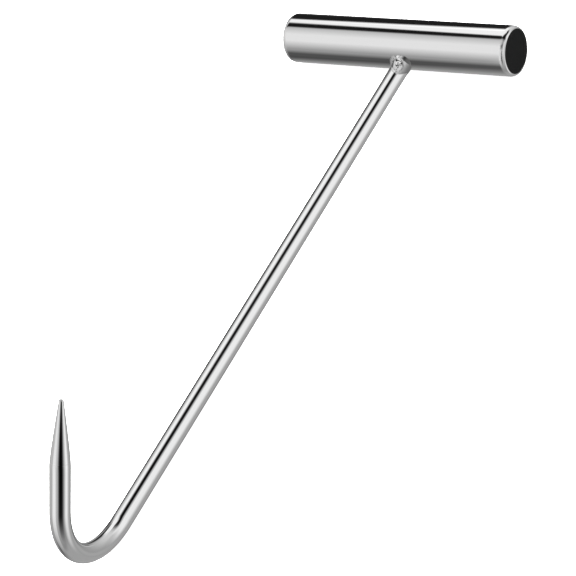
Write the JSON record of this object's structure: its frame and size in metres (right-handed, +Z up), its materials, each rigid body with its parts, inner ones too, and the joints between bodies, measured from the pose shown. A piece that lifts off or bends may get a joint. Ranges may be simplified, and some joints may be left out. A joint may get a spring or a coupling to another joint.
{
  "type": "meat hook",
  "caption": "T-handled meat hook: a round metal bar bent into a crook with a ground point, welded to a polished tube handle with black end plugs.",
  "frame": {"origin": "middle of the tool's footprint, on the surface it lies on", "axes": "the tool lies on the side of its handle and on the outside of its crook: +X along the handle towards the end nearer the shank, +Y from the crook to the handle, +Z up, towards the point"},
  "size_m": [0.113, 0.3162, 0.0882],
  "materials": {
    "handle_steel": "mirror-polished stainless tube",
    "rod_steel": "polished stainless bar, point ground",
    "weld_steel": "cleaned weld, rippled",
    "black_plastic": "fine satin"
  },
  "bodies": {
    "root": {"handle_tube": "handle_steel", "hook_rod": "rod_steel", "weld_bead": "weld_steel", "end_plug_right": "black_plastic", "end_plug_left": "black_plastic"}
  },
  "joints": []
}
